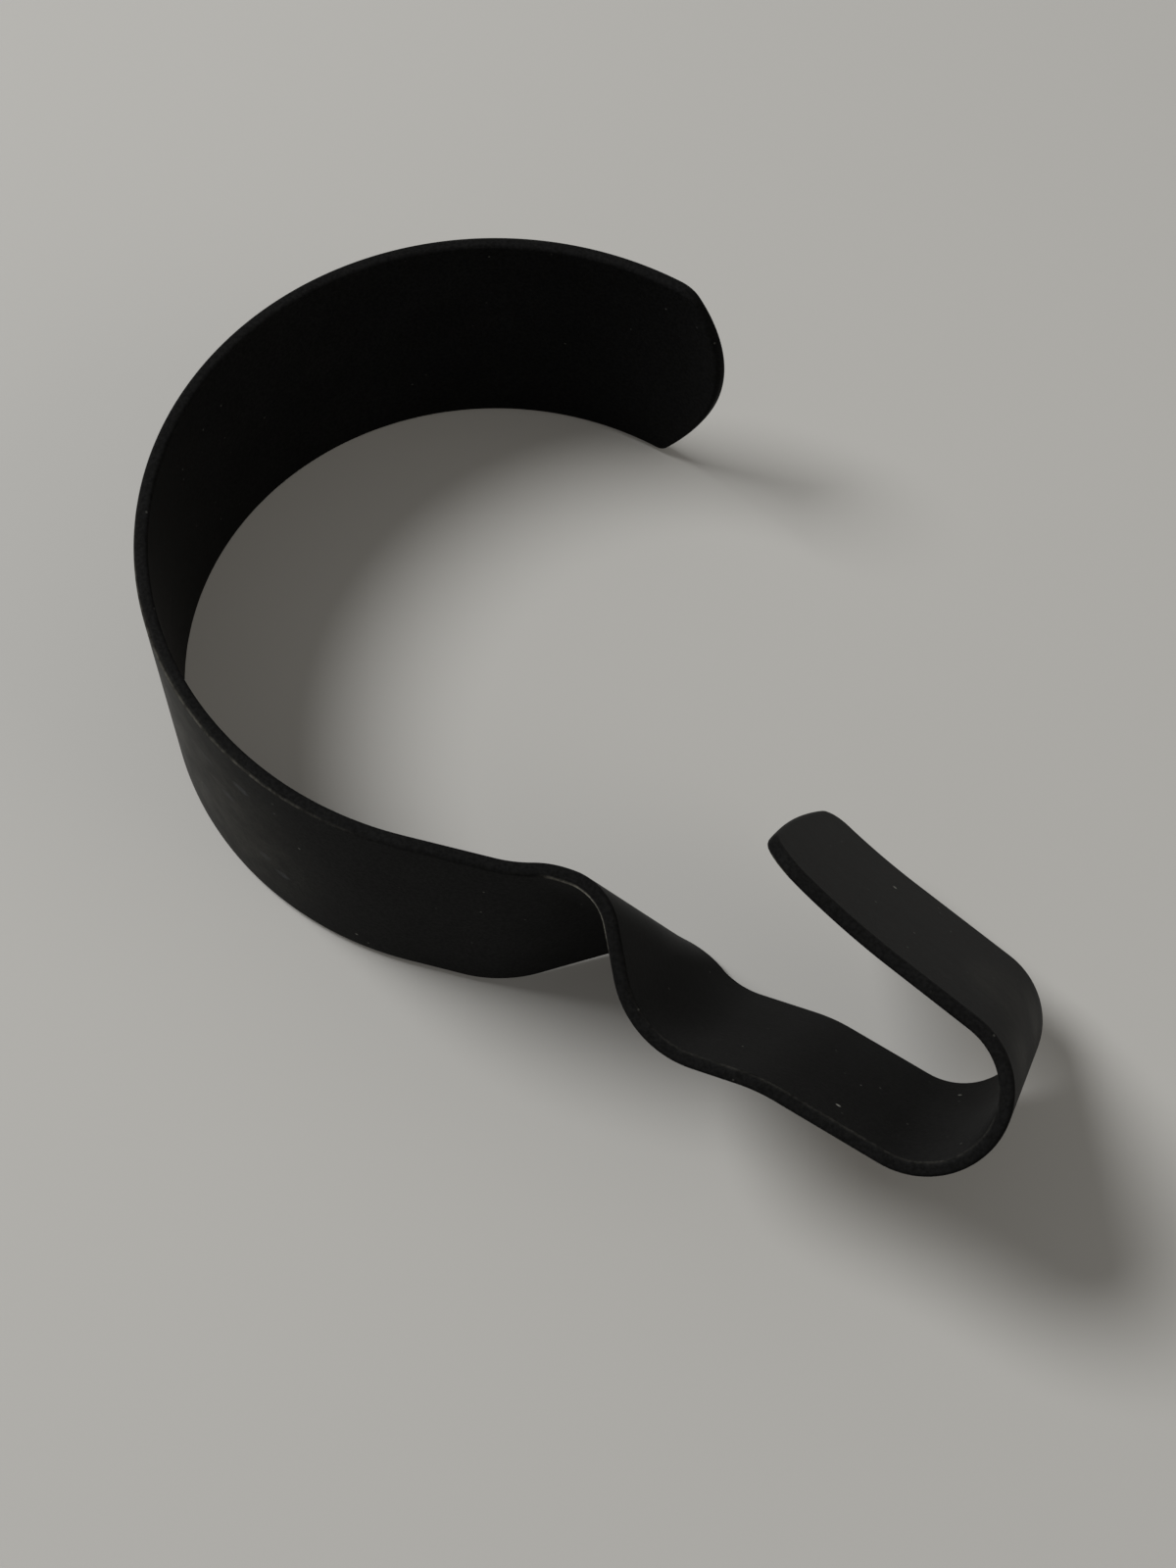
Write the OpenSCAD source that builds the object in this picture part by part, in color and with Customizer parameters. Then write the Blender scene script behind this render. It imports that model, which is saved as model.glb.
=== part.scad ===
// Wire clip: one flat steel strap, bent into an open ring that grips a round bar and
// a hook that holds a wire. Lengths are in millimetres and +Z is up. The ring's axis is
// the Z axis, and the XY plane runs through the middle of the ring's width.
//
// The hook is made as the real strap is: a flat blank is laid out with its outline and
// rounded edges, and each bend then rolls it round a cylinder. A bend that is skewed
// has its line at an angle to the strap, which turns what follows out of the ring's plane.

/* [Strap] */
// Width of the strap
strap_w = 19; // [15:0.5:22]
// Thickness of the strap
strap_t = 0.9; // [0.7:0.05:1.2]
// Rounding along the strap's edges
edge_r = 0.3; // [0.1:0.05:0.3]

/* [Ring] */
// Bore of the open ring, which is the bar that it grips
bore_d = 44.5; // [40:0.5:60]
// Direction of the ring's free end, seen from above
free_end_angle = 48.3; // [30:0.1:70]
// Turn of the ring, from its free end to where the strap straightens
ring_turn = 207.7; // [180:0.1:225]
// Radius of the ring's rounded free end
nose_r = 14.5; // [11:0.5:30]
// Corner radius of the ring's free end
nose_corner_r = 1.5; // [1:0.25:3]
// Lean of the free end to the strap's square, which takes its upper side further
nose_skew = -8.5; // [-10:0.5:10]

/* [Neck] */
// Flat length between the ring and the neck
neck_run = 4.7; // [2:0.1:10]
// Inward turn of the neck, ahead of the fold
neck_turn = 31.5; // [10:0.5:40]
// Middle radius of the neck
neck_r = 9; // [6:0.5:15]
// Angle of the neck's line to the strap's square
neck_skew = -6; // [-10:0.5:10]

/* [Fold] */
// Flat length between the neck and the fold
fold_run = 2.4; // [1:0.1:6]
// Outward turn of the fold
fold_turn = 104.5; // [80:0.5:115]
// Middle radius of the fold
fold_r = 3.1; // [2:0.1:5]
// Angle of the fold's line to the strap's square
fold_skew = 22.5; // [10:0.5:30]

/* [Knee] */
// Flat length between the fold and the knee
knee_run = 0; // [0:0.1:4]
// Inward turn of the knee
knee_turn = 64.5; // [40:0.5:75]
// Middle radius of the knee
knee_r = 6.1; // [4:0.1:9]
// Angle of the knee's line to the strap's square
knee_skew = 2; // [-5:0.5:10]

/* [Lower leg] */
// Flat length between the knee and the outward sweep
sweep_run = 3.3; // [1:0.1:8]
// Outward turn of the sweep
sweep_turn = 13; // [5:1:35]
// Middle radius of the sweep
sweep_r = 11; // [6:0.5:30]
// Angle of the sweep's line to the strap's square
sweep_skew = 5; // [-5:0.5:10]

/* [Return] */
// Flat length between the sweep and the return
return_run = 6.4; // [3:0.1:10]
// Inward turn of the return
return_turn = 172.5; // [150:0.5:180]
// Middle radius of the return
return_r = 4.8; // [3.5:0.1:8]
// Angle of the return's line to the strap's square
return_skew = 1.5; // [-4:0.5:6]

/* [Upper leg] */
// Flat length between the return and the flare
flare_run = 6.7; // [2:0.1:10]
// Outward turn of the flare
flare_turn = 9; // [0:1:25]
// Middle radius of the flare
flare_r = 54; // [20:1:80]
// Angle of the flare's line to the strap's square
flare_skew = 7.5; // [0:0.5:10]
// Flat length from the flare to the tip
tip_run = 0.8; // [0:0.1:10]
// Radius of the tip's slightly rounded end
tip_r = 75; // [20:1:100]
// Corner radius of the tip
tip_corner_r = 2.5; // [1:0.25:3]

/* [Hidden] */
$fn = 96;

half_w = strap_w / 2;
half_t = strap_t / 2;
ring_r = bore_d / 2 + half_t;
ring_end_angle = free_end_angle + ring_turn;

// Steps of the mesh: corner and nose arcs, edge rounding, across and along the strap
CORNER_STEPS = 5;
NOSE_STEPS = 12;
EDGE_STEPS = 2;
ACROSS_STEPS = 6;
ALONG_STEP = 0.6;
// Overlap of two stretches of strap, and how much finer the buried one is
SEAM = 0.4;
SEAM_INSET = 0.02;
// The last step of an end's arc stops short of the middle, where the two sides meet
NOSE_STOP = 1 / (2 * NOSE_STEPS);

// Length of strap that a bend of this turn and middle radius takes up
function arc_length(turn, r) = abs(turn) * r * PI / 180;

// Turn of the ring that takes up this length of strap
function ring_angle(length) = length * 180 / (PI * ring_r);

// A bend is [start on the middle line, turn, middle radius, skew]. A positive turn
// carries on the ring's curl, and a negative one goes outwards.
BEND_TURN = 1;
BEND_R = 2;
BEND_SKEW = 3;
function bend_length(bend) = arc_length(bend[BEND_TURN], bend[BEND_R]);
function bend_middle(bend) = bend[0] + bend_length(bend) / 2;
function bend_end(bend) = bend[0] + bend_length(bend);

// The hook's mesh starts on the ring, ahead of where a skewed bend reaches back to
hook_lead = max(half_w * tan(abs(neck_skew)) - neck_run,
    half_w * tan(fold_skew) - neck_run - arc_length(neck_turn, neck_r) - fold_run, 0) + ALONG_STEP;

ring_bend = [0, ring_angle(hook_lead), ring_r, 0];
neck_bend = [bend_end(ring_bend) + neck_run, neck_turn, neck_r, neck_skew];
fold_bend = [bend_end(neck_bend) + fold_run, -fold_turn, fold_r, fold_skew];
knee_bend = [bend_end(fold_bend) + knee_run, knee_turn, knee_r, knee_skew];
sweep_bend = [bend_end(knee_bend) + sweep_run, -sweep_turn, sweep_r, sweep_skew];
return_bend = [bend_end(sweep_bend) + return_run, return_turn, return_r, return_skew];
flare_bend = [bend_end(return_bend) + flare_run, -flare_turn, flare_r, flare_skew];
HOOK_BENDS = [ring_bend, neck_bend, fold_bend, knee_bend, sweep_bend, return_bend, flare_bend];
hook_length = bend_end(flare_bend) + tip_run;

// The mesh lines across the strap follow the skew of the bend that they are in
SKEW_ALONG = concat(
    [[0, 0]],
    [for (i = [1:len(HOOK_BENDS) - 1]) [bend_middle(HOOK_BENDS[i]), tan(HOOK_BENDS[i][BEND_SKEW])]],
    [[hook_length - tip_run, 0], [hook_length, 0]]);

// Rounded edge, from the top face to the bottom face, as [inset, height] pairs
EDGE_ROUND = [for (j = [0:EDGE_STEPS])
    let (a = 90 * j / EDGE_STEPS)
    [edge_r * (1 - sin(a)), half_t - edge_r * (1 - cos(a))]];
EDGE_ROWS = concat(EDGE_ROUND, [for (j = [EDGE_STEPS:-1:0]) [EDGE_ROUND[j][0], -EDGE_ROUND[j][1]]]);

// Outline of the strap's end at arc step i, as [distance past the corner's start, half width],
// inset by d. The corner's arc comes first, and the end's larger arc follows on tangentially.
function end_depth(end_r, corner_r) =
    end_r - sqrt(pow(end_r - corner_r, 2) - pow(half_w - corner_r, 2));
function end_point(i, d, end_r, corner_r) =
    let (blend = asin((half_w - corner_r) / (end_r - corner_r)))
    i <= CORNER_STEPS
        ? let (a = 90 + (blend - 90) * i / CORNER_STEPS)
          [(corner_r - d) * cos(a), half_w - corner_r + (corner_r - d) * sin(a)]
        : let (a = blend * (1 - (1 - NOSE_STOP) * (i - CORNER_STEPS) / NOSE_STEPS))
          [end_depth(end_r, corner_r) - end_r + (end_r - d) * cos(a), (end_r - d) * sin(a)];

// One closed loop of blank points [along, across, out of the strap's middle]
function loop_at(side) =
    let (n = len(EDGE_ROWS) - 1)
    concat(
        [for (j = [0:ACROSS_STEPS])
            let (w = 2 * j / ACROSS_STEPS - 1) [side[0][0], w * side[0][1], EDGE_ROWS[0][1]]],
        [for (k = [1:n - 1]) [side[k][0], side[k][1], EDGE_ROWS[k][1]]],
        [for (j = [ACROSS_STEPS:-1:0])
            let (w = 2 * j / ACROSS_STEPS - 1) [side[n][0], w * side[n][1], EDGE_ROWS[n][1]]],
        [for (k = [n - 1:-1:1]) [side[k][0], -side[k][1], EDGE_ROWS[k][1]]]);

// Loops of a blank that has straight edges for the length of its body, then a rounded end
function blank_loops(body, end_r, corner_r) =
    let (steps = ceil(body / ALONG_STEP))
    concat(
        [for (i = [0:1:steps - 1])
            loop_at([for (row = EDGE_ROWS) [body * i / steps, half_w - row[0]]])],
        [for (i = [0:CORNER_STEPS + NOSE_STEPS])
            loop_at([for (row = EDGE_ROWS)
                let (p = end_point(i, row[0], end_r, corner_r)) [body + p[0], p[1]]])]);

// Rolls point p, whose place on the flat blank is s along and v across, round one bend
function rolled(p, s, v, bend) =
    let (turn = bend[BEND_TURN], r = bend[BEND_R], skew = bend[BEND_SKEW],
         side = sign(turn),
         taken = min(max((s - bend[0]) * cos(skew) + v * sin(skew) + skew_shift(bend), 0), bend_length(bend)),
         a = turn == 0 ? 0 : turn * taken / bend_length(bend),
         x = (p[0] - bend[0]) * cos(skew) + p[2] * sin(skew) + skew_shift(bend) - taken,
         z = p[2] * cos(skew) - (p[0] - bend[0]) * sin(skew),
         along = side * r * sin(a) + x * cos(a) - p[1] * sin(a) - skew_shift(bend),
         inward = side * r * (1 - cos(a)) + x * sin(a) + p[1] * cos(a))
    [bend[0] + along * cos(skew) - z * sin(skew), inward, z * cos(skew) + along * sin(skew)];

// A skewed bend keeps its middle on the middle line
function skew_shift(bend) = bend_length(bend) * (1 - cos(bend[BEND_SKEW])) / 2;

function formed(p, s, v, bends, i) =
    i < 0 ? p : formed(rolled(p, s, v, bends[i]), s, v, bends, i - 1);

// Blank point [along, across, out] on the formed strap
function strap_point(b, bends, skews) =
    let (s = b[0] - b[1] * lookup(b[0], skews))
    formed([s, -b[2], b[1]], s, b[1], bends, len(bends) - 1);

// Solid strap along the bends, from a flat cut to a rounded end. Its root reaches a
// little way back into the strap that it continues, and is slightly finer than it there.
module formed_strap(body, end_r, corner_r, bends, skews) {
    loops = blank_loops(body, end_r, corner_r);
    size = len(loops[0]);
    last = len(loops) * size;
    rows = len(EDGE_ROWS);
    right = [for (k = [0:rows - 1]) last + ACROSS_STEPS + k];
    left = [for (k = [0:rows - 1]) last + (size - k) % size];
    sides = [for (i = [0:len(loops) - 1], j = [0:size - 1])
        let (a = i * size + j, b = i * size + (j + 1) % size)
        each [[a, b, a + size], [b, b + size, a + size]]];
    root = [for (b = loops[0]) [-SEAM, b[1] - sign(b[1]) * SEAM_INSET, b[2] - sign(b[2]) * SEAM_INSET]];
    points = [for (loop = concat([root], loops), b = loop) strap_point(b, bends, skews)];
    top_cap = concat(
        [for (j = [0:ACROSS_STEPS - 1]) [left[1], last + j, last + j + 1]],
        [[left[1], right[0], right[1]]]);
    side_cap = [for (k = [1:rows - 3])
        each [[left[k], right[k], right[k + 1]], [left[k], right[k + 1], left[k + 1]]]];
    bottom_first = last + ACROSS_STEPS + rows - 1;
    bottom_cap = concat(
        [[left[rows - 2], right[rows - 2], bottom_first]],
        [for (j = [0:ACROSS_STEPS - 1]) [left[rows - 2], bottom_first + j, bottom_first + j + 1]]);
    start_cap = [[for (j = [size - 1:-1:0]) j]];
    polyhedron(points, concat(start_cap, sides, top_cap, side_cap, bottom_cap), convexity = 8);
}

// Places a strap that starts at the origin along +X at an angle on the ring
module on_ring(angle) {
    rotate([0, 0, angle + 90]) translate([0, -ring_r, 0]) children();
}

nose_length = end_depth(nose_r, nose_corner_r);

// Open ring, as exact surfaces between the nose and the hook's first bend
module ring_band() {
    start = free_end_angle + ring_angle(nose_length + SEAM / 2);
    turn = ring_end_angle - ring_angle(hook_lead + SEAM / 2) - start;
    right = [for (row = EDGE_ROWS) [ring_r + row[1], half_w - row[0]]];
    left = [for (row = EDGE_ROWS) [ring_r + row[1], row[0] - half_w]];
    n = len(EDGE_ROWS) - 1;
    rotate([0, 0, start]) rotate_extrude(angle = turn)
        polygon(concat(right, [for (k = [n:-1:0]) left[k]]));
}

// Rounded free end of the ring
module ring_nose() {
    bends = [[0, ring_angle(2 * nose_length), ring_r, 0]];
    on_ring(free_end_angle + ring_angle(nose_length)) mirror([1, 0, 0])
        formed_strap(0, nose_r, nose_corner_r, bends, [[0, 0], [nose_length, tan(nose_skew)]]);
}

// Fold, knee, lower leg, return and upper leg, in one run of strap
module hook() {
    on_ring(ring_end_angle - ring_angle(hook_lead))
        formed_strap(hook_length - end_depth(tip_r, tip_corner_r), tip_r, tip_corner_r,
            HOOK_BENDS, SKEW_ALONG);
}

module strap_clip() {
    color("#26282a") union() {
        ring_nose();
        ring_band();
        hook();
    }
}

strap_clip();
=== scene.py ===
"""Wire clip: one flat steel strap in a black coat, formed into an open ring and a hook.

The strap is laid out flat, with its outline and its rounded edges, and a node tree then
rolls it round its bends in turn, as it is made. Lengths are in metres in the frame's
own axes: +Z is the ring's axis, and the origin is on it, half way up the ring.
"""

import math

import bmesh
import bpy
import numpy as np
from bpy.props import FloatProperty, FloatVectorProperty, PointerProperty
from mathutils import Matrix, Vector
from mathutils.geometry import intersect_ray_tri


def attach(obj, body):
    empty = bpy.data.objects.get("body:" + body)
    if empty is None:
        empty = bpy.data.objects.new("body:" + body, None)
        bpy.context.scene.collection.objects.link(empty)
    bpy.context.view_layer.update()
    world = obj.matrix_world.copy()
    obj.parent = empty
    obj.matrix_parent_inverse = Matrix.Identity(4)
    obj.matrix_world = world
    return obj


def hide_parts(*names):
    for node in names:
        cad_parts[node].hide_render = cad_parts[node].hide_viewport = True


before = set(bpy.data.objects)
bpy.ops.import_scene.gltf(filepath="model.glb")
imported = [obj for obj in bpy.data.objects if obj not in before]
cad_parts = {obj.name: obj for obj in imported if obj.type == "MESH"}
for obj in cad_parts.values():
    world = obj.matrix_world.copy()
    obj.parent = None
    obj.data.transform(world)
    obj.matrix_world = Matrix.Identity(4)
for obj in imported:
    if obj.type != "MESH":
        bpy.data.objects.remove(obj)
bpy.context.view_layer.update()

bl_info = {
    "name": "Wire clip",
    "version": (1, 0, 0),
    "blender": (4, 5, 0),
    "location": "View3D > Sidebar > Wire clip",
    "description": "A black strap clip: an open ring for a bar and a hook for a wire",
    "category": "Object",
}

MM = 0.001
PIECE = "strap_clip"
COAT_SLOT = "black_coat"

# Every bend from the ring's free end to the tip: the flat run ahead of it in mm, its
# turn in degrees, its middle radius in mm, and the skew of its line to the strap's
# square. A plus turn carries on the ring's curl, and a minus turn goes outwards.
BENDS = {
    "ring": (0, 207.7, 22.7, 0),
    "neck": (4.7, 31.5, 9, -6),
    "fold": (2.4, -104.5, 3.1, 22.5),
    "knee": (0, 64.5, 6.1, 2),
    "sweep": (3.3, -13, 11, 5),
    "return": (6.4, 172.5, 4.8, 1.5),
    "flare": (6.7, -9, 54, 7.5),
}
# The mesh lines stay square to the strap this far ahead of the neck, and then skew
SQUARE_BEFORE_NECK = 9 * MM

# Steps of the blank: along and across it, and round its corners, ends and edges
ALONG_STEP = 0.3 * MM
ACROSS_STEPS = 16
CORNER_STEPS = 8
END_STEPS = 24
EDGE_STEPS = 5
# A narrow row of faces beside each rounded edge keeps the flat faces flat when shaded
EDGE_GUARD = 0.12 * MM


def length_property(name, description, millimetres):
    """A length that a user may change, from its default in millimetres."""
    return FloatProperty(
        name=name,
        description=description,
        default=millimetres * MM,
        min=0,
        precision=5,
        subtype="DISTANCE",
        unit="LENGTH",
    )


def angle_property(name, description, degrees):
    """An angle that a user may change, from its default in degrees."""
    return FloatProperty(
        name=name,
        description=description,
        default=math.radians(degrees),
        subtype="ANGLE",
        unit="ROTATION",
    )


class WireClipSizes(bpy.types.PropertyGroup):
    """The strap's sizes. Each bend's run, turn, radius and skew are added below."""

    width: length_property("Width", "Width of the strap", 19)
    thickness: length_property("Thickness", "Thickness of the coated strap", 0.9)
    edge_radius: length_property("Edge radius", "Rounding along the strap's edges", 0.3)
    nose_radius: length_property("Nose radius", "Radius of the ring's free end", 14.5)
    nose_corner: length_property("Nose corner", "Corner radius of the free end", 1.5)
    nose_skew: angle_property("Nose skew", "Lean of the free end to the strap", -8.5)
    tip_run: length_property("Tip run", "Flat length from the flare to the tip", 0.8)
    tip_radius: length_property("Tip radius", "Radius of the hook's end", 75)
    tip_corner: length_property("Tip corner", "Corner radius of the hook's end", 2.5)
    free_end: angle_property("Free end", "Direction of the ring's free end", 48.3)


for label, (run, turn, radius, skew) in BENDS.items():
    title = label.capitalize()
    WireClipSizes.__annotations__.update(
        {
            f"{label}_run": length_property(
                f"{title} run", f"Flat length ahead of the {label}", run
            ),
            f"{label}_turn": angle_property(
                f"{title} turn", f"Turn of the {label}, plus for inwards", turn
            ),
            f"{label}_radius": length_property(
                f"{title} radius", f"Middle radius of the {label}", radius
            ),
            f"{label}_skew": angle_property(
                f"{title} skew", f"Angle of the {label}'s line to the strap", skew
            ),
        }
    )


class WireClipCoat(bpy.types.PropertyGroup):
    """The coat's colours and gloss."""

    base: FloatVectorProperty(
        name="Coat",
        description="Colour of the sound coat",
        subtype="COLOR",
        size=4,
        min=0,
        max=1,
        default=(0.014, 0.0141, 0.0141, 1),
    )
    rubbed: FloatVectorProperty(
        name="Rubbed coat",
        description="Colour of the coat where handling has rubbed it",
        subtype="COLOR",
        size=4,
        min=0,
        max=1,
        default=(0.06, 0.062, 0.065, 1),
    )
    roughness: FloatProperty(
        name="Roughness",
        description="Roughness of the sound coat",
        default=0.36,
        min=0,
        max=1,
        subtype="FACTOR",
    )


class WireClipStage(bpy.types.PropertyGroup):
    """The floor's colour and the light's strength."""

    floor: FloatVectorProperty(
        name="Floor",
        description="Colour of the floor",
        subtype="COLOR",
        size=4,
        min=0,
        max=1,
        default=(0.42, 0.42, 0.41, 1),
    )
    glow: FloatVectorProperty(
        name="Floor glow",
        description="How far the floor's shadows are lifted",
        subtype="COLOR",
        size=4,
        min=0,
        max=1,
        default=(0.034, 0.0315, 0.0275, 1),
    )
    key_power: FloatProperty(
        name="Key light",
        description="Power of the large soft light",
        default=5.0,
        min=0,
        unit="POWER",
    )
    fill_power: FloatProperty(
        name="Fill light",
        description="Power of the weak warm light from the other side",
        default=0.4,
        min=0,
        unit="POWER",
    )


# --- the flat blank ----------------------------------------------------------------


def end_depth(half_width, end_radius, corner_radius):
    """Length of strap that an end's corners and arc take up."""
    reach, drop = end_radius - corner_radius, half_width - corner_radius
    return end_radius - math.sqrt(reach**2 - drop**2)


def end_outline(half_width, end_radius, corner_radius, inset):
    """Outline of a rounded end as (distance past the corner's start, half width) pairs,
    moved in by inset: the corner first, then the arc to just short of the middle."""
    blend = math.asin((half_width - corner_radius) / (end_radius - corner_radius))
    depth = end_depth(half_width, end_radius, corner_radius)
    corner_angles = np.linspace(math.pi / 2, blend, CORNER_STEPS + 1)
    arc_angles = np.linspace(blend, blend / (2 * END_STEPS), END_STEPS + 1)[1:]
    corner = [
        (
            (corner_radius - inset) * math.cos(a),
            half_width - corner_radius + (corner_radius - inset) * math.sin(a),
        )
        for a in corner_angles
    ]
    arc = [
        (
            depth - end_radius + (end_radius - inset) * math.cos(a),
            (end_radius - inset) * math.sin(a),
        )
        for a in arc_angles
    ]
    return corner + arc


def edge_rows(sizes):
    """The rounded edge from the outer face to the inner, as (inset, height) pairs."""
    half, radius = sizes.thickness / 2, sizes.edge_radius
    rounding = [
        (radius * (1 - math.sin(a)), half - radius * (1 - math.cos(a)))
        for a in np.linspace(0, math.pi / 2, EDGE_STEPS + 1)
    ]
    rows = [(radius + EDGE_GUARD, half)] + rounding
    return rows + [(inset, -height) for inset, height in reversed(rows)]


def bend_places(sizes):
    """{bend: (start, end)} on the strap's middle line, measured from the free end."""
    places, end = {}, 0.0
    for label in BENDS:
        start = end + getattr(sizes, f"{label}_run")
        end = start + abs(getattr(sizes, f"{label}_turn")) * getattr(
            sizes, f"{label}_radius"
        )
        places[label] = (start, end)
    return places


def half_outlines(sizes, rows, total):
    """Half of the strap's outline for each row of its rounded edge, from nose to tip,
    as (along, half width) pairs. Every row has the same number of them."""
    half = sizes.width / 2
    nose = (half, sizes.nose_radius, sizes.nose_corner)
    tip = (half, sizes.tip_radius, sizes.tip_corner)
    start, end = end_depth(*nose), total - end_depth(*tip)
    steps = math.ceil((end - start) / ALONG_STEP)
    outlines = []
    for inset, _ in rows:
        outline = [(start - x, w) for x, w in reversed(end_outline(*nose, inset))]
        outline += [
            (start + (end - start) * i / steps, half - inset) for i in range(1, steps)
        ]
        outline += [(end + x, w) for x, w in end_outline(*tip, inset)]
        outlines.append(outline)
    return outlines


def skew_lines(sizes, places, total):
    """How the mesh lines across the strap lean, as (places along it, slopes)."""
    nose_end = end_depth(sizes.width / 2, sizes.nose_radius, sizes.nose_corner)
    neck_start = places["neck"][0]
    along = [0.0, nose_end, neck_start - SQUARE_BEFORE_NECK]
    slope = [-math.tan(sizes.nose_skew), 0.0, 0.0]
    for label in list(BENDS)[1:]:
        along.append(sum(places[label]) / 2)
        slope.append(math.tan(getattr(sizes, f"{label}_skew")))
    return along + [total - sizes.tip_run, total], slope + [0.0, 0.0]


def rim_distance(sizes, total, along, across):
    """Distance of a point on a face to the strap's cut edge, at a side or an end."""

    def inside_arc(radius, from_end):
        return radius - math.hypot(min(from_end - radius, 0), across)

    return min(
        sizes.width / 2 - abs(across),
        inside_arc(sizes.nose_radius, along),
        inside_arc(sizes.tip_radius, total - along),
    )


def blank_faces(stations, size, last):
    """Faces between the blank's loops, which have this size, and over its two ends.
    An end's faces join the edge rows on its left, up to the last, to those on its
    right."""
    faces = [
        (
            i * size + j,
            i * size + (j + 1) % size,
            (i + 1) * size + (j + 1) % size,
            (i + 1) * size + j,
        )
        for i in range(stations - 1)
        for j in range(size)
    ]
    for first in (0, (stations - 1) * size):
        right = [first + ACROSS_STEPS + row for row in range(last + 1)]
        left = [first + (size - row) % size for row in range(last + 1)]
        outer = range(first, first + ACROSS_STEPS + 1)
        inner = range(right[last], right[last] + ACROSS_STEPS + 1)
        faces.append([left[1], *outer, right[1]])
        faces += [
            [left[row], right[row], right[row + 1], left[row + 1]]
            for row in range(1, last - 1)
        ]
        faces.append([left[last - 1], right[last - 1], *inner])
    return faces


def make_blank(sizes):
    """The flat strap as a closed mesh: X along it, Y inwards and Z across it. Its
    attribute rim is each point's distance from the strap's cut edge."""
    places = bend_places(sizes)
    total = places["flare"][1] + sizes.tip_run
    rows = edge_rows(sizes)
    outlines = half_outlines(sizes, rows, total)
    lean_along, lean_slope = skew_lines(sizes, places, total)

    # One loop round the strap: its outer face, an edge, its inner face, the other edge
    last = len(rows) - 1
    spread = [2 * j / ACROSS_STEPS - 1 for j in range(ACROSS_STEPS + 1)]
    loop = [(0, share) for share in spread]
    loop += [(row, 1) for row in range(1, last)]
    loop += [(last, share) for share in reversed(spread)]
    loop += [(row, -1) for row in range(last - 1, 0, -1)]

    points, rims = [], []
    stations = len(outlines[0])
    for station in range(stations):
        for row, share in loop:
            inset, height = rows[row]
            along, width = outlines[row][station]
            across = share * width
            if abs(share) == 1:
                rims.append(inset)
            else:
                rims.append(rim_distance(sizes, total, along, across))
            along -= across * np.interp(along, lean_along, lean_slope)
            points.append((along, -height, across))

    mesh = bpy.data.meshes.new(PIECE)
    mesh.from_pydata(points, [], blank_faces(stations, len(loop), last))
    rim = mesh.attributes.new("rim", "FLOAT", "POINT")
    rim.data.foreach_set("value", rims)
    shell = bmesh.new()
    shell.from_mesh(mesh)
    bmesh.ops.recalc_face_normals(shell, faces=shell.faces)
    shell.to_mesh(mesh)
    shell.free()
    return mesh


# --- the node trees ----------------------------------------------------------------


def add_node(tree, kind, inputs=None, **settings):
    """A node of this kind, with its settings, and its inputs linked or set."""
    node = tree.nodes.new(kind)
    for name, value in settings.items():
        setattr(node, name, value)
    for name, value in (inputs or {}).items():
        if isinstance(value, bpy.types.NodeSocket):
            tree.links.new(value, node.inputs[name])
        else:
            node.inputs[name].default_value = value
    return node


def calc(tree, operation, *values):
    """The result of one Math node."""
    inputs = dict(enumerate(values))
    return add_node(tree, "ShaderNodeMath", inputs, operation=operation).outputs[0]


def vector_calc(tree, operation, *values):
    """The vector that one Vector Math node gives."""
    inputs = dict(enumerate(values))
    node = add_node(tree, "ShaderNodeVectorMath", inputs, operation=operation)
    return node.outputs[0]


def length_of(tree, vector):
    """The length of a vector."""
    inputs = {0: vector}
    node = add_node(tree, "ShaderNodeVectorMath", inputs, operation="LENGTH")
    return node.outputs["Value"]


def add_up(tree, start, *parts):
    """The start, and the product of each (value, amount) pair added to it in turn."""
    for value, amount in parts:
        start = calc(tree, "MULTIPLY_ADD", value, amount, start)
    return start


def combine(tree, *values):
    """The vector of these three values."""
    return add_node(tree, "ShaderNodeCombineXYZ", dict(enumerate(values))).outputs[0]


def turned(tree, vector, axis, angle):
    """The vector turned about a main axis, "Y_AXIS" or "Z_AXIS"."""
    node = add_node(
        tree,
        "ShaderNodeVectorRotate",
        {"Vector": vector, "Angle": angle},
        rotation_type=axis,
    )
    return node.outputs[0]


def add_socket(tree, name, kind, direction="INPUT", subtype=None):
    """A named socket on the tree's own interface."""
    socket = tree.interface.new_socket(
        name=name, in_out=direction, socket_type=f"NodeSocket{kind}"
    )
    if subtype:
        socket.subtype = subtype
    return socket


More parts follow.
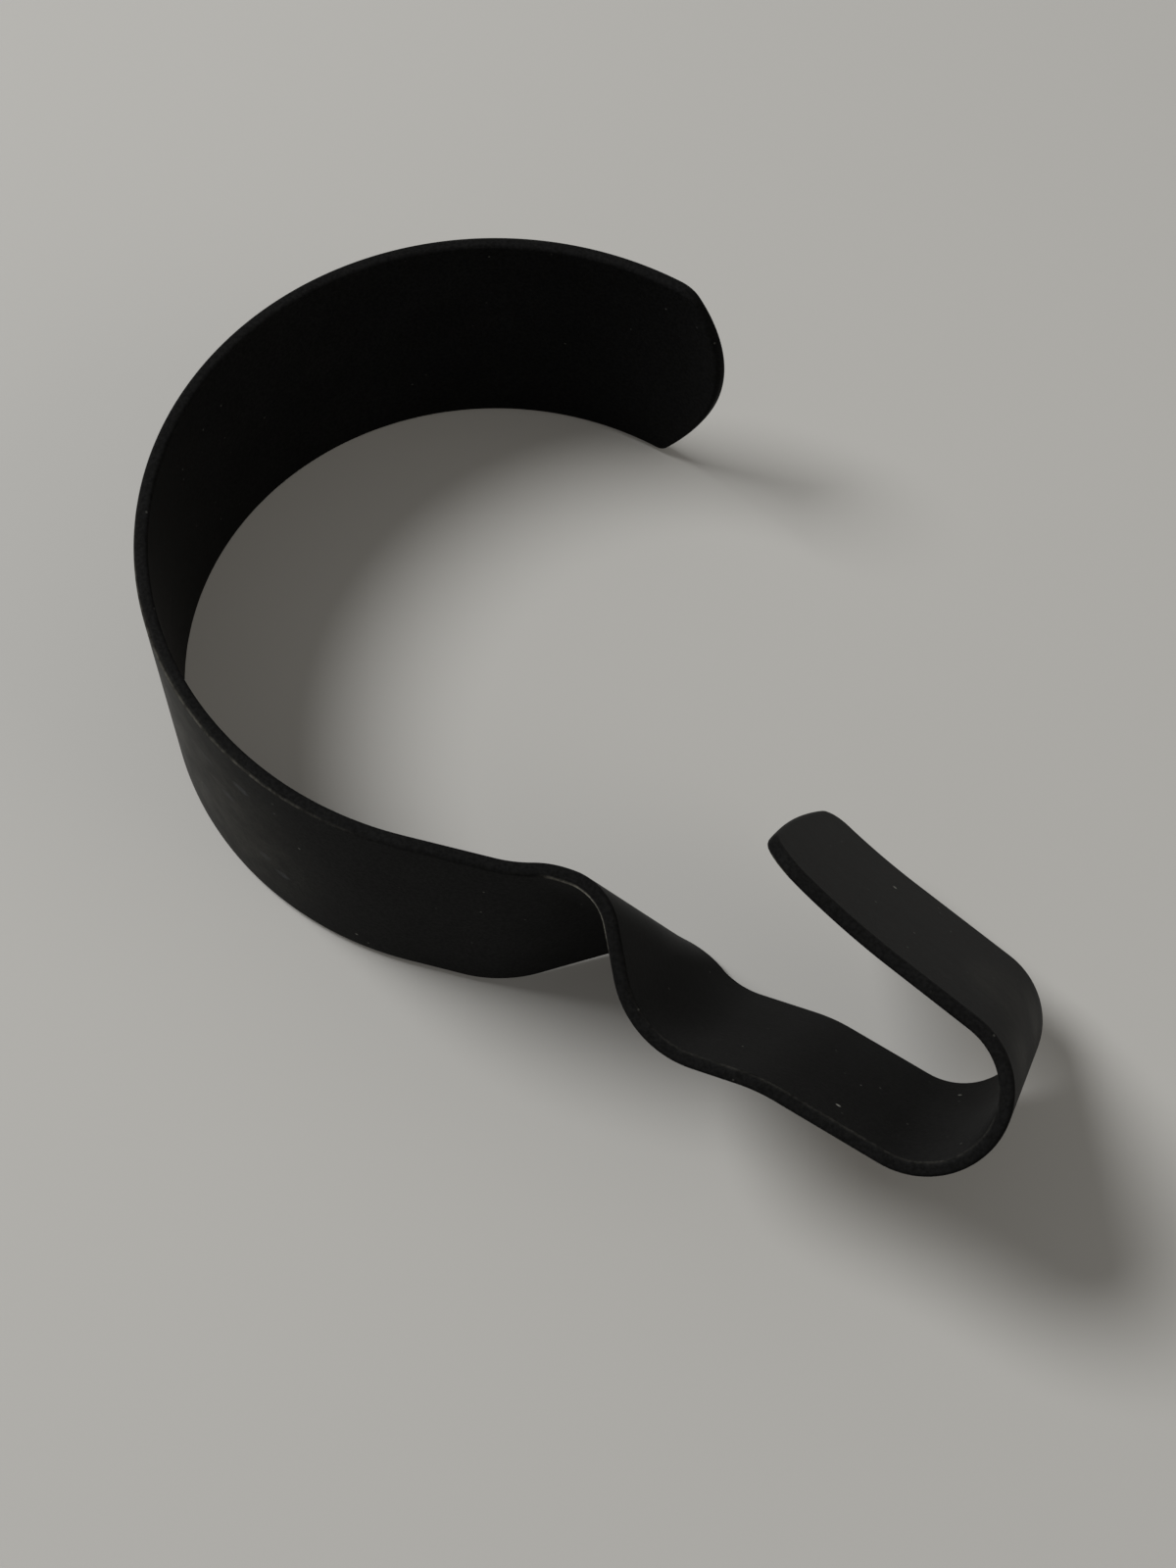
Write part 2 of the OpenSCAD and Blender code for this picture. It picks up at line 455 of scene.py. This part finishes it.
def bend_tree():
    """A node group that rolls a point of the strap round one bend."""
    tree = bpy.data.node_groups.new("strap_bend", "GeometryNodeTree")
    add_socket(tree, "Point", "Vector")
    add_socket(tree, "Blank", "Vector")
    add_socket(tree, "Start", "Float", subtype="DISTANCE")
    add_socket(tree, "Turn", "Float", subtype="ANGLE")
    add_socket(tree, "Radius", "Float", subtype="DISTANCE")
    add_socket(tree, "Skew", "Float", subtype="ANGLE")
    add_socket(tree, "Point", "Vector", "OUTPUT")
    given = add_node(tree, "NodeGroupInput").outputs

    turn, radius, skew = given["Turn"], given["Radius"], given["Skew"]
    length = calc(tree, "MULTIPLY", calc(tree, "ABSOLUTE", turn), radius)
    # A skewed bend is moved so that its middle stays on the middle line
    lean = calc(tree, "SUBTRACT", 1.0, calc(tree, "COSINE", skew))
    shift = calc(tree, "MULTIPLY", calc(tree, "MULTIPLY", length, lean), 0.5)
    origin = combine(tree, given["Start"], 0.0, 0.0)

    blank = turned(
        tree, vector_calc(tree, "SUBTRACT", given["Blank"], origin), "Y_AXIS", skew
    )
    reached = add_node(tree, "ShaderNodeSeparateXYZ", {0: blank}).outputs["X"]
    taken = calc(
        tree,
        "MINIMUM",
        calc(tree, "MAXIMUM", calc(tree, "ADD", reached, shift), 0.0),
        length,
    )
    angle = calc(tree, "DIVIDE", calc(tree, "MULTIPLY", turn, taken), length)
    reach = calc(tree, "MULTIPLY", calc(tree, "SIGN", turn), radius)

    local = turned(
        tree, vector_calc(tree, "SUBTRACT", given["Point"], origin), "Y_AXIS", skew
    )
    back = combine(tree, calc(tree, "SUBTRACT", shift, taken), 0.0, 0.0)
    rolled = turned(tree, vector_calc(tree, "ADD", local, back), "Z_AXIS", angle)
    along = calc(tree, "MULTIPLY", reach, calc(tree, "SINE", angle))
    rise = calc(tree, "SUBTRACT", 1.0, calc(tree, "COSINE", angle))
    arc = combine(
        tree,
        calc(tree, "SUBTRACT", along, shift),
        calc(tree, "MULTIPLY", reach, rise),
        0.0,
    )
    unturned = turned(
        tree,
        vector_calc(tree, "ADD", rolled, arc),
        "Y_AXIS",
        calc(tree, "MULTIPLY", skew, -1.0),
    )
    result = vector_calc(tree, "ADD", unturned, origin)
    add_node(tree, "NodeGroupOutput", {"Point": result})
    return tree


def forming_tree(coat):
    """The tree that forms the flat blank: every bend, from the tip's to the ring's,
    then the ring's place round its axis. It returns the tree and its inputs by name."""
    tree = bpy.data.node_groups.new("strap_forming", "GeometryNodeTree")
    add_socket(tree, "Blank", "Geometry")
    inputs = {"free_end": add_socket(tree, "Free end", "Float", subtype="ANGLE")}
    for label in BENDS:
        for part, subtype in (
            ("run", "DISTANCE"),
            ("turn", "ANGLE"),
            ("radius", "DISTANCE"),
            ("skew", "ANGLE"),
        ):
            inputs[f"{label}_{part}"] = add_socket(
                tree, f"{label.capitalize()} {part}", "Float", subtype=subtype
            )
    add_socket(tree, "Strap", "Geometry", "OUTPUT")
    given = add_node(tree, "NodeGroupInput").outputs
    position = add_node(tree, "GeometryNodeInputPosition").outputs[0]

    starts, end = {}, 0.0
    for label in BENDS:
        title = label.capitalize()
        starts[label] = calc(tree, "ADD", end, given[f"{title} run"])
        size = calc(tree, "ABSOLUTE", given[f"{title} turn"])
        length = calc(tree, "MULTIPLY", size, given[f"{title} radius"])
        end = calc(tree, "ADD", starts[label], length)

    one_bend = bend_tree()
    point = position
    for label in reversed(BENDS):
        title = label.capitalize()
        sockets = {
            "Point": point,
            "Blank": position,
            "Start": starts[label],
            "Turn": given[f"{title} turn"],
            "Radius": given[f"{title} radius"],
            "Skew": given[f"{title} skew"],
        }
        point = add_node(
            tree, "GeometryNodeGroup", sockets, node_tree=one_bend
        ).outputs["Point"]

    centred = vector_calc(
        tree, "SUBTRACT", point, combine(tree, 0.0, given["Ring radius"], 0.0)
    )
    quarter = calc(tree, "ADD", given["Free end"], math.pi / 2)
    placed = turned(tree, centred, "Z_AXIS", quarter)

    kept = add_node(
        tree,
        "GeometryNodeStoreNamedAttribute",
        {"Geometry": given["Blank"], "Name": "blank", "Value": position},
        data_type="FLOAT_VECTOR",
        domain="POINT",
    )
    formed = add_node(
        tree,
        "GeometryNodeSetPosition",
        {"Geometry": kept.outputs[0], "Position": placed},
    )
    smooth = add_node(
        tree, "GeometryNodeSetShadeSmooth", {"Geometry": formed.outputs[0]}
    )
    real = add_node(
        tree, "GeometryNodeRealizeInstances", {"Geometry": smooth.outputs[0]}
    )
    coated = add_node(
        tree,
        "GeometryNodeSetMaterial",
        {"Geometry": real.outputs[0], "Material": coat},
    )
    add_node(tree, "NodeGroupOutput", {"Strap": coated.outputs[0]})
    return tree, inputs


# --- the coat ----------------------------------------------------------------------

# Wear and painted highlights on the flat strap, in mm. The rounded corners of the rim
# are paled about these places along the upper edge, partly as rubbed coat and partly as
# a painted
# highlight: place, half length, side (-1 outer, 1 inner), strength.
EDGE_WEAR_AND_HIGHLIGHTS = (
    (6, 6, -1, 0.16),
    (64, 18, -1, 0.2),
    (94.6, 4.2, -1, 0.9),
    (116, 20, 1, 0.05),
    (147.6, 1.2, 1, 0.6),
)
# Marks on a face of the flat strap: strength, place along, side (-1 outer, 1 inner),
# place across, half length, half width, and slant in degrees
SCUFFS = (
    (0.6, 71.0, -1, 5.6, 0.9, 0.55, 8),
    (0.5, 69.2, -1, 2.0, 0.8, 0.5, 15),
    (0.6, 71.9, -1, -3.2, 0.7, 0.6, 30),
    (0.6, 73.3, -1, -4.2, 0.8, 0.55, 10),
    (0.5, 66.0, -1, -2.4, 0.7, 0.5, 40),
    (0.4, 67.4, -1, 4.6, 1.2, 0.4, 5),
    (0.4, 62.0, -1, -5.5, 1.6, 0.5, 20),
)
# Painted sheen: pale warm smudges, shaped like finger marks, for the sheen on the
# ring's lit outer wall and the floor's warm reflection on the outside of the return
SHEEN_SMUDGES = (
    (0.5, 64.0, -1, -1.0, 15.0, 15.0, 0),
    (0.2, 130.4, -1, -4.6, 2.2, 3.4, 20),
    (0.2, 129.9, -1, 4.2, 2.0, 3.6, -15),
    (0.15, 133.0, -1, 0.0, 3.4, 6.5, 0),
)
SPECKS = (
    (0.4, 78.7, -1, -7.6, 0.15, 0.15, 0),
    (0.35, 75.3, -1, 2.7, 0.12, 0.12, 0),
    (0.3, 79.5, -1, -8.4, 0.1, 0.1, 0),
    (0.25, 87.5, -1, 5.8, 0.09, 0.09, 0),
    (0.25, 87.3, -1, 2.5, 0.09, 0.09, 0),
    (0.4, 65.4, -1, -2.6, 0.12, 0.12, 0),
    (0.6, 142.1, -1, -4.3, 0.2, 0.16, 0),
    (0.8, 115.2, 1, 6.5, 0.22, 0.18, 0),
    (0.6, 122.0, 1, -6.1, 0.18, 0.16, 0),
    (0.4, 115.8, 1, 0.7, 0.09, 0.09, 0),
    (0.3, 108.5, 1, 4.3, 0.08, 0.08, 0),
    (0.35, 31.0, -1, 2.0, 0.13, 0.13, 0),
    (0.35, 44.5, -1, -5.5, 0.15, 0.12, 0),
)
# Depth of a face from the strap's middle in mm, which is how deep a mark reaches too
FACE_DEPTH = 0.45
# The share of its half size in which a mark, or a rubbed place, has its full strength
MARK_CORE = 0.35
WEAR_CORE = 0.4

# Noise patterns of the coat: scale per mm, detail and roughness
PATCHES = (0.22, 3.0, 0.5)
GRAIN = (4.2, 3.0, 0.7)
BREAKS = (1.3, 4.0, 0.65)
SMEARS = (0.5, 3.0, 0.6)
WAVES = (0.5, 2.0, 0.5)
# The part of each noise that is spread over its pattern's whole range
PATCH_SPAN = (0.3, 0.75)
DULL_SPAN = (0.25, 0.8)
GRAIN_SPAN = (0.34, 0.66)
BREAK_SPAN = (0.36, 0.62)
SMEAR_SPAN = (0.3, 0.7)
# How far the breaks and the smears thin out what they cross
RUB_BREAK = 0.7
SCUFF_BREAK = 0.6
SHEEN_SMEAR = 0.6
# Fine dust: cells per mm, a speck's core and edge in cells, the draw from which a cell
# starts to have one, and its strength
DUST_CELLS = 0.9
DUST_SPECK = (0.03, 0.1)
DUST_DRAW = 0.6
DUST_STRENGTH = 0.2

# In mm from the cut edge: where the rim's painted shade fades, and the middle of its
# rubbed corner, which is partly a painted highlight, with the half widths of the
# corner's core and of all of it
RIM_SHADE_FADE = (0.06, 0.36)
RIM_CORNER = (0.2, 0.02, 0.17)
# In mm from the strap's middle: where a face's corner sets in, and where the inner
# side's painted shade does
CORNER_DEPTH = (-0.1, 0.3)
INNER_SHADE_DEPTH = (-0.3, 0.3)
# How far the painted shade takes the rim's tone to black, and the inner faces' share of
# that
SHADE_STRENGTH = 0.45
INNER_SHARE = 0.75
# The coat's colour in its darkest and palest patches, and the grain's lowest tone and
# how much paler it gets
PATCH_TONES = (0.92, 1.1)
GRAIN_TONES = (0.75, 0.5)
BLACK = (0, 0, 0, 1)
# Colour of the painted sheen
SHEEN_TONE = (0.052, 0.05, 0.042, 1)
# Colour of the rim's pale corners, partly worn coat and partly painted highlight
BARE_AND_HIGHLIGHT_TONE = (0.30, 0.29, 0.25, 1)
DUST_TONE = (0.34, 0.34, 0.31, 1)

# What the patches, the grain, the painted sheen smudges and the rubbed rim with its
# painted highlight add to the roughness
PATCH_DULLNESS = 0.03
GRAIN_DULLNESS = 0.16
SHEEN_DULLNESS = -0.12
RUB_DULLNESS = -0.1
# Height of the waves, the scuffs and the dust on the grain, and the depth of it all
WAVE_HEIGHT = 1.2
SCUFF_HEIGHT = -0.4
DUST_HEIGHT = 1.5
BUMP_DEPTH = 0.03 * MM
BUMP_STRENGTH = 0.35
# Strength of the coat's reflections, which are next to none
SHINE = 0.004


def ramp(tree, value, low, high):
    """Value from low to high, spread over 0 to 1 with soft ends."""
    return add_node(
        tree,
        "ShaderNodeMapRange",
        {"Value": value, "From Min": low, "From Max": high},
        interpolation_type="SMOOTHSTEP",
    ).outputs[0]


def inverse(tree, value):
    """1 less the value."""
    return calc(tree, "SUBTRACT", 1.0, value)


def noise(tree, vector, scale, detail, roughness):
    """A noise pattern from 0 to 1, as in PATCHES."""
    inputs = {"Vector": vector, "Scale": scale}
    inputs.update({"Detail": detail, "Roughness": roughness})
    return add_node(tree, "ShaderNodeTexNoise", inputs).outputs[0]


def mixed_colour(tree, factor, first, second):
    """The first colour, going over to the second as the factor rises to 1."""
    # A Mix node's colours are its inputs 6 and 7, and its output 2
    inputs = {0: factor, 6: first, 7: second}
    return add_node(tree, "ShaderNodeMix", inputs, data_type="RGBA").outputs[2]


def near(tree, value, centre, full, none):
    """1 where the value is within full of the centre, and 0 from none onwards."""
    gap = calc(tree, "ABSOLUTE", calc(tree, "SUBTRACT", value, centre))
    return inverse(tree, ramp(tree, gap, full, none))


def mark(tree, blank, strength, along, side, across, half_length, half_width, slant):
    """A soft oval mark on the flat strap's outer or inner face, as in SCUFFS."""
    place = (along, side * FACE_DEPTH, across)
    local = vector_calc(tree, "SUBTRACT", blank, place)
    local = turned(tree, local, "Y_AXIS", math.radians(slant))
    size = (half_length, FACE_DEPTH, half_width)
    away = length_of(tree, vector_calc(tree, "DIVIDE", local, size))
    spread = inverse(tree, ramp(tree, away, MARK_CORE, 1.0))
    return calc(tree, "MULTIPLY", spread, strength)


def strongest(tree, values):
    """The largest of the values, or 0."""
    result = 0.0
    for value in values:
        result = calc(tree, "MAXIMUM", result, value)
    return result


def thinned(tree, value, pattern, depth):
    """The value, less this share of it where the pattern is 0."""
    kept = calc(tree, "MULTIPLY_ADD", pattern, depth, 1 - depth)
    return calc(tree, "MULTIPLY", value, kept)


def stored(tree, name):
    """Outputs of the node that reads what the strap's points store by this name."""
    node = add_node(
        tree, "ShaderNodeAttribute", attribute_name=name, attribute_type="GEOMETRY"
    )
    return node.outputs


def rim_wear_and_highlights(tree, axes, rim):
    """Where the rim's upper corners are paled, partly as rubbed coat and partly as a
    painted highlight, as the table above lists.
    """
    corner = near(tree, rim, *RIM_CORNER)
    corner = calc(tree, "MULTIPLY", corner, ramp(tree, axes["Z"], 0.0, 1.0))
    places = []
    for along, half_length, side, strength in EDGE_WEAR_AND_HIGHLIGHTS:
        there = near(tree, axes["X"], along, WEAR_CORE * half_length, half_length)
        facing = ramp(tree, calc(tree, "MULTIPLY", axes["Y"], side), *CORNER_DEPTH)
        there = calc(tree, "MULTIPLY", there, facing)
        places.append(calc(tree, "MULTIPLY", there, strength))
    return calc(tree, "MULTIPLY", corner, strongest(tree, places))


def fine_dust(tree, spot):
    """A few faint specks that are scattered all over the coat."""
    inputs = {"Vector": spot, "Scale": DUST_CELLS, "Randomness": 1.0}
    cells = add_node(tree, "ShaderNodeTexVoronoi", inputs).outputs
    draw = add_node(tree, "ShaderNodeSeparateColor", {0: cells["Color"]}).outputs[0]
    specks = inverse(tree, ramp(tree, cells["Distance"], *DUST_SPECK))
    specks = calc(tree, "MULTIPLY", specks, ramp(tree, draw, DUST_DRAW, 1.0))
    return calc(tree, "MULTIPLY", specks, DUST_STRENGTH)


def coat_material(coat):
    """Thin black coat on steel: a fine grain, edges rubbed by handling with painted
    highlights on them, a few scuffs, smudges of painted sheen, painted shade on the rim
    and the inner faces, and specks of dust. Its patterns are in millimetres."""
    material = bpy.data.materials.new(COAT_SLOT)
    material.use_nodes = True
    tree = material.node_tree
    shader = tree.nodes["Principled BSDF"]

    per_mm = (1 / MM,) * 3
    spot = add_node(tree, "ShaderNodeTexCoord").outputs["Object"]
    spot = vector_calc(tree, "MULTIPLY", spot, per_mm)
    blank = vector_calc(tree, "MULTIPLY", stored(tree, "blank")["Vector"], per_mm)
    axes = add_node(tree, "ShaderNodeSeparateXYZ", {0: blank}).outputs
    rim = calc(tree, "MULTIPLY", stored(tree, "rim")["Fac"], 1 / MM)

    patches = noise(tree, spot, *PATCHES)
    grain = noise(tree, spot, *GRAIN)
    breaks = ramp(tree, noise(tree, spot, *BREAKS), *BREAK_SPAN)
    smears = ramp(tree, noise(tree, spot, *SMEARS), *SMEAR_SPAN)

    def marks(rows):
        return strongest(tree, [mark(tree, blank, *row) for row in rows])

    # The rim's pale corners: partly wear, partly painted highlights along the upper
    # edge
    rub_and_highlight = thinned(tree, rim_wear_and_highlights(tree, axes, rim), breaks, RUB_BREAK)
    scuffs = thinned(tree, marks(SCUFFS), breaks, SCUFF_BREAK)
    # Painted sheen, in smudges shaped like finger marks
    sheen_smudges = thinned(tree, marks(SHEEN_SMUDGES), smears, SHEEN_SMEAR)
    dust = calc(tree, "MAXIMUM", fine_dust(tree, spot), marks(SPECKS))

    # Painted shade: the coat's tone is darkened on the rim and on the inner faces,
    # inside the ring and the fold
    dark, pale = ([c * share for c in coat.base[:3]] + [1] for share in PATCH_TONES)
    tone = mixed_colour(tree, ramp(tree, patches, *PATCH_SPAN), dark, pale)
    inner = ramp(tree, axes["Y"], *INNER_SHADE_DEPTH)
    rim_shade = inverse(tree, ramp(tree, rim, *RIM_SHADE_FADE))
    deep = calc(tree, "MAXIMUM", calc(tree, "MULTIPLY", inner, INNER_SHARE), rim_shade)
    tone = mixed_colour(tree, calc(tree, "MULTIPLY", deep, SHADE_STRENGTH), tone, BLACK)
    tone = mixed_colour(tree, sheen_smudges, tone, SHEEN_TONE)
    tone = mixed_colour(tree, scuffs, tone, coat.rubbed)
    tone = mixed_colour(tree, rub_and_highlight, tone, BARE_AND_HIGHLIGHT_TONE)
    tone = mixed_colour(tree, dust, tone, DUST_TONE)
    lowest, spread = GRAIN_TONES
    speckle = add_up(tree, lowest, (ramp(tree, grain, *GRAIN_SPAN), spread))
    tone = vector_calc(tree, "MULTIPLY", tone, combine(tree, *[speckle] * 3))
    tree.links.new(tone, shader.inputs["Base Color"])

    roughness = add_up(
        tree,
        coat.roughness,
        (ramp(tree, patches, *DULL_SPAN), PATCH_DULLNESS),
        (calc(tree, "SUBTRACT", grain, 0.5), GRAIN_DULLNESS),
        (sheen_smudges, SHEEN_DULLNESS),
        (rub_and_highlight, RUB_DULLNESS),
    )
    tree.links.new(roughness, shader.inputs["Roughness"])

    height = add_up(
        tree,
        grain,
        (noise(tree, spot, *WAVES), WAVE_HEIGHT),
        (scuffs, SCUFF_HEIGHT),
        (dust, DUST_HEIGHT),
    )
    inputs = {"Strength": BUMP_STRENGTH, "Distance": BUMP_DEPTH, "Height": height}
    bump = add_node(tree, "ShaderNodeBump", inputs)
    tree.links.new(bump.outputs[0], shader.inputs["Normal"])
    shader.inputs["Specular IOR Level"].default_value = SHINE
    return material


# --- the strap ---------------------------------------------------------------------


class WIRECLIP_OT_strap(bpy.types.Operator):
    """Lay out the flat strap, form it round its bends and coat it"""

    bl_idname = "wireclip.strap"
    bl_label = "Strap"

    def execute(self, context):
        sizes = context.scene.wireclip_sizes
        tree, inputs = forming_tree(coat_material(context.scene.wireclip_coat))
        strap = bpy.data.objects.new(PIECE, make_blank(sizes))
        context.scene.collection.objects.link(strap)
        forming = strap.modifiers.new("Forming", "NODES")
        forming.node_group = tree
        for name, socket in inputs.items():
            forming[socket.identifier] = getattr(sizes, name)
        graph = context.evaluated_depsgraph_get()
        formed = bpy.data.meshes.new_from_object(strap.evaluated_get(graph))
        strap.modifiers.remove(forming)
        if len(formed.vertices) != len(strap.data.vertices):
            raise RuntimeError("the strap wasn't formed")
        strap.data = formed
        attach(strap, "root")
        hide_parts(PIECE)
        return {"FINISHED"}


# --- the stage ---------------------------------------------------------------------

# Reach of the floor on each side, in metres, and its finish
FLOOR_REACH = 2.0
FLOOR_ROUGHNESS = 0.9
FLOOR_SHINE = 0.1
# How much more the floor's far parts glow, and the distances that this grows over
FAR_GLOW = 7.0
FAR_FROM, FAR_TO = 0.25, 1.4

# Soft round lights, as place, width and colour, and the place that they point at
KEY_LIGHT = ((-0.42, 0.17, 0.58), 0.30, (1, 0.99, 0.975))
FILL_LIGHT = ((0.5, -0.2, 0.36), 0.4, (1, 0.9, 0.76))
LIT_PLACE = (0.005, -0.008, 0)
# The sky's colour, its strength as a light, and its strength where it is looked at
SKY_COLOUR = (1, 0.985, 0.955, 1)
SKY = 0.2
BACKDROP = 0.4

# The camera's place in mm, the way that its picture's right and bottom sides lie, and
# its lens and sensor in mm
CAMERA_PLACE = (0.99, -74.76, 128.19)
PICTURE_RIGHT = (0.9992, 0.0021, 0.0399)
PICTURE_DOWN = (0.0191, -0.9026, -0.4301)
LENS = 50.22675
SENSOR_HEIGHT = 36
# Nearest and farthest that the camera sees, in metres
NEAREST, FARTHEST = 0.01, 10


def weight_centre(shell):
    """Centre of the volume that a closed mesh holds."""
    volume, moment = 0.0, Vector()
    for face in shell.faces:
        first = face.verts[0].co
        for one, two in zip(face.verts[1:], face.verts[2:]):
            part = first.dot(one.co.cross(two.co))
            volume += part
            moment += part * (first + one.co + two.co) / 4
    return moment / volume


def resting_face(strap):
    """Corners of the face of the strap's hull that its weight comes down on."""
    hull = bmesh.new()
    hull.from_mesh(strap.data)
    middle = weight_centre(hull)
    made = bmesh.ops.convex_hull(hull, input=hull.verts, use_existing_faces=False)
    found = None
    for face in made["geom"]:
        # Only a face within 60 degrees of level can be rested on
        if isinstance(face, bmesh.types.BMFace) and abs(face.normal.z) > 0.5:
            corners = [v.co.copy() for v in face.verts]
            hit = intersect_ray_tri(*corners[:3], Vector((0, 0, -1)), middle, True)
            if hit is not None and hit.z < middle.z:
                found = corners
    hull.free()
    if found is None:
        raise RuntimeError("the strap rests on no face")
    return found


def looking(tree):
    """1 for a ray from the camera or off a glossy surface, and 0 for light."""
    path = add_node(tree, "ShaderNodeLightPath").outputs
    return calc(tree, "MAXIMUM", path["Is Camera Ray"], path["Is Glossy Ray"])


def floor_material(stage):
    """A pale, matt floor. Its shadows are lifted a little, and its far parts are kept
    as pale as the middle, for what looks at it only: neither lights the strap."""
    material = bpy.data.materials.new("pale_floor")
    material.use_nodes = True
    tree = material.node_tree
    shader = tree.nodes["Principled BSDF"]
    shader.inputs["Base Color"].default_value = stage.floor
    shader.inputs["Roughness"].default_value = FLOOR_ROUGHNESS
    shader.inputs["Specular IOR Level"].default_value = FLOOR_SHINE
    shader.inputs["Emission Color"].default_value = stage.glow
    place = add_node(tree, "ShaderNodeTexCoord").outputs["Object"]
    far = ramp(tree, length_of(tree, place), FAR_FROM, FAR_TO)
    lift = calc(tree, "MULTIPLY_ADD", far, FAR_GLOW, 1.0)
    glow = calc(tree, "MULTIPLY", looking(tree), lift)
    tree.links.new(glow, shader.inputs["Emission Strength"])
    return material


def floor_mesh(strap):
    """A large square in the plane that the strap rests on."""
    one, two, three = resting_face(strap)
    normal = (two - one).cross(three - one).normalized()
    slope = Vector((-normal.x / normal.z, -normal.y / normal.z))
    level = one.z - slope.dot(one.xy)
    corners = [
        (x, y, level + slope.x * x + slope.y * y)
        for x, y in (
            (-FLOOR_REACH, -FLOOR_REACH),
            (FLOOR_REACH, -FLOOR_REACH),
            (FLOOR_REACH, FLOOR_REACH),
            (-FLOOR_REACH, FLOOR_REACH),
        )
    ]
    mesh = bpy.data.meshes.new("floor")
    mesh.from_pydata(corners, [], [(0, 1, 2, 3)])
    return mesh


def add_light(scene, name, power, place, width, colour):
    """A soft round light that points at the strap."""
    light = bpy.data.lights.new(name, "AREA")
    light.shape, light.size = "DISK", width
    light.energy, light.color = power, colour
    lamp = bpy.data.objects.new(name, light)
    lamp.location = place
    towards = Vector(LIT_PLACE) - Vector(place)
    lamp.rotation_euler = towards.to_track_quat("-Z", "Y").to_euler()
    scene.collection.objects.link(lamp)


def add_sky(scene):
    """A plain sky that is dimmer as a light than where it is looked at."""
    world = bpy.data.worlds.new("studio")
    scene.world = world
    world.use_nodes = True
    tree = world.node_tree
    background = tree.nodes["Background"]
    background.inputs["Color"].default_value = SKY_COLOUR
    strength = calc(tree, "MULTIPLY_ADD", looking(tree), BACKDROP - SKY, SKY)
    tree.links.new(strength, background.inputs["Strength"])


def add_camera(scene):
    """The camera, which looks down on the clip from in front of it."""
    camera = bpy.data.cameras.new("camera")
    camera.sensor_fit = "VERTICAL"
    camera.sensor_height = SENSOR_HEIGHT
    camera.lens = LENS
    camera.clip_start, camera.clip_end = NEAREST, FARTHEST
    right, down = Vector(PICTURE_RIGHT), Vector(PICTURE_DOWN)
    forward = right.cross(down).normalized()
    down = forward.cross(right)
    turn = Matrix((right, -down, -forward)).transposed()
    place = Matrix.Translation(Vector(CAMERA_PLACE) * MM)
    viewer = bpy.data.objects.new("camera", camera)
    viewer.matrix_world = place @ turn.to_4x4()
    scene.collection.objects.link(viewer)
    scene.camera = viewer


class WIRECLIP_OT_stage(bpy.types.Operator):
    """Put a plain floor under the strap, and add the soft lights and the camera"""

    bl_idname = "wireclip.stage"
    bl_label = "Stage"

    def execute(self, context):
        scene = context.scene
        stage = scene.wireclip_stage
        floor = bpy.data.objects.new("floor", floor_mesh(bpy.data.objects[PIECE]))
        scene.collection.objects.link(floor)
        floor.data.materials.append(floor_material(stage))
        add_light(scene, "key_light", stage.key_power, *KEY_LIGHT)
        add_light(scene, "fill_light", stage.fill_power, *FILL_LIGHT)
        add_sky(scene)
        add_camera(scene)
        scene.view_settings.view_transform = "Standard"
        return {"FINISHED"}


# --- the panel ---------------------------------------------------------------------

GROUPS = {
    "wireclip_sizes": WireClipSizes,
    "wireclip_coat": WireClipCoat,
    "wireclip_stage": WireClipStage,
}
OPERATORS = (WIRECLIP_OT_strap, WIRECLIP_OT_stage)


class WIRECLIP_PT_panel(bpy.types.Panel):
    """Lists the clip's sizes and colours, and the operators that make it"""

    bl_idname = "WIRECLIP_PT_panel"
    bl_label = "Wire clip"
    bl_space_type = "VIEW_3D"
    bl_region_type = "UI"
    bl_category = "Wire clip"

    def draw(self, context):
        for group, made in GROUPS.items():
            for name in made.__annotations__:
                self.layout.prop(getattr(context.scene, group), name)
        for operator in OPERATORS:
            self.layout.operator(operator.bl_idname)


def register():
    """Registers the classes, and the sizes, colours and stage as the scene's own."""
    for made in (*GROUPS.values(), *OPERATORS, WIRECLIP_PT_panel):
        bpy.utils.register_class(made)
    for name, group in GROUPS.items():
        setattr(bpy.types.Scene, name, PointerProperty(type=group))


def unregister():
    """Takes back what register did."""
    for name in GROUPS:
        delattr(bpy.types.Scene, name)
    for made in (WIRECLIP_PT_panel, *reversed(OPERATORS), *GROUPS.values()):
        bpy.utils.unregister_class(made)


def main():
    """Makes the clip and its stage."""
    register()
    bpy.ops.wireclip.strap()
    bpy.ops.wireclip.stage()


if __name__ == "__main__":
    main()
